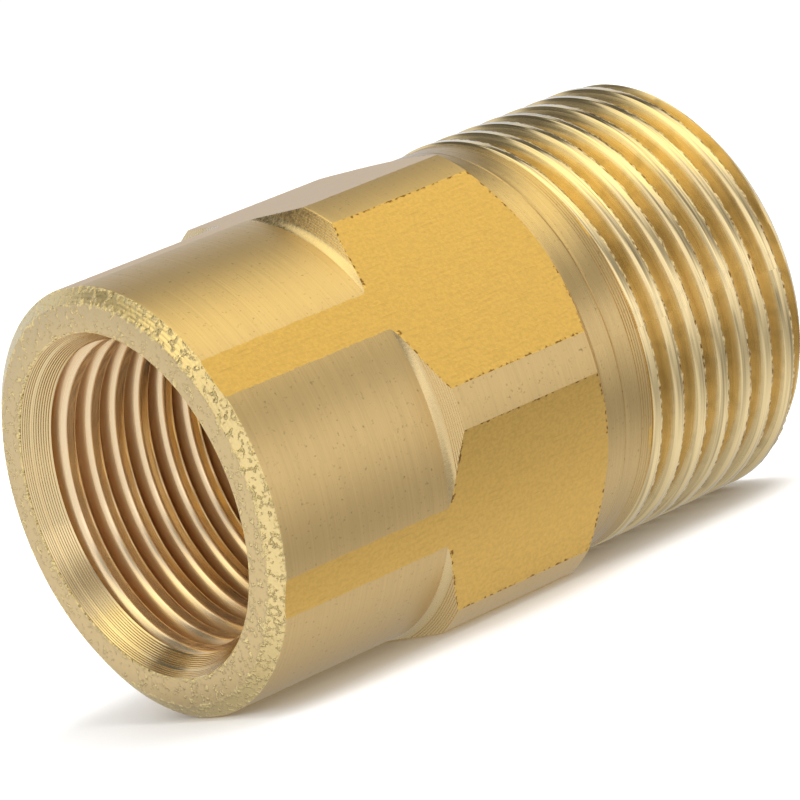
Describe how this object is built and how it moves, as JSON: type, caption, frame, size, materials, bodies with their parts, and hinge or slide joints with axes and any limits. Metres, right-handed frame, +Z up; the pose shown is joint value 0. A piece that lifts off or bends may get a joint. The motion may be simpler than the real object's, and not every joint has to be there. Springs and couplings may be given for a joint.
{
  "type": "reducing hex adapter",
  "caption": "Straight turned brass pipe adapter: a round barrel with an inside thread, a hexagon for a spanner, a neck, a larger outside thread and a through passage.",
  "frame": {"origin": "middle of the fitting on its thread axis", "axes": "+X along the thread axis towards the male end, +Z up with the fitting lying on a flat of its hexagon"},
  "size_m": [0.0418, 0.0286, 0.0262],
  "materials": {
    "turned_brass": "turned and drawn brass, satin",
    "thread_brass": "freshly cut thread, bright crests",
    "bore_brass": "cut inside thread, bright"
  },
  "bodies": {
    "root": {"body": "turned_brass", "male_thread": "thread_brass", "female_thread": "bore_brass"}
  },
  "joints": []
}
